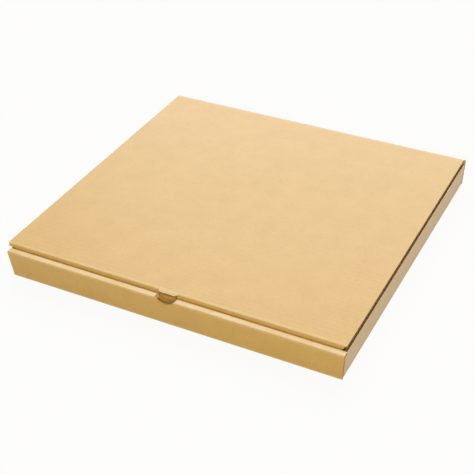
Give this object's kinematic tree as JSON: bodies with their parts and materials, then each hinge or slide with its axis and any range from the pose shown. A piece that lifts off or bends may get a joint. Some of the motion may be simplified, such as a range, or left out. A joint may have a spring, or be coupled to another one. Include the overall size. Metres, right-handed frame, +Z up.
{
  "type": "pizza box",
  "caption": "Flat square box folded from corrugated kraft board, with a hinged lid that tucks into its front, for carrying a pizza.",
  "frame": {"origin": "on the surface the box stands on, under the middle of the whole box", "axes": "+X along the front from left to right, +Y from the front with the thumb notch to the back with the lid's crease, +Z up"},
  "size_m": [0.4064, 0.4, 0.0341],
  "materials": {
    "kraft_board": "uncoated brown kraft liner, matt with a faint sheen"
  },
  "bodies": {
    "tray": {"base_tray": "kraft_board"},
    "lid": {"lid": "kraft_board"}
  },
  "joints": [
    {"name": "lid_hinge", "type": "hinge", "parent": "tray", "child": "lid", "pos_m": [0, 0.19959, 0.03369], "axis": [-1, 0, 0], "range_deg": [0, 180]}
  ]
}
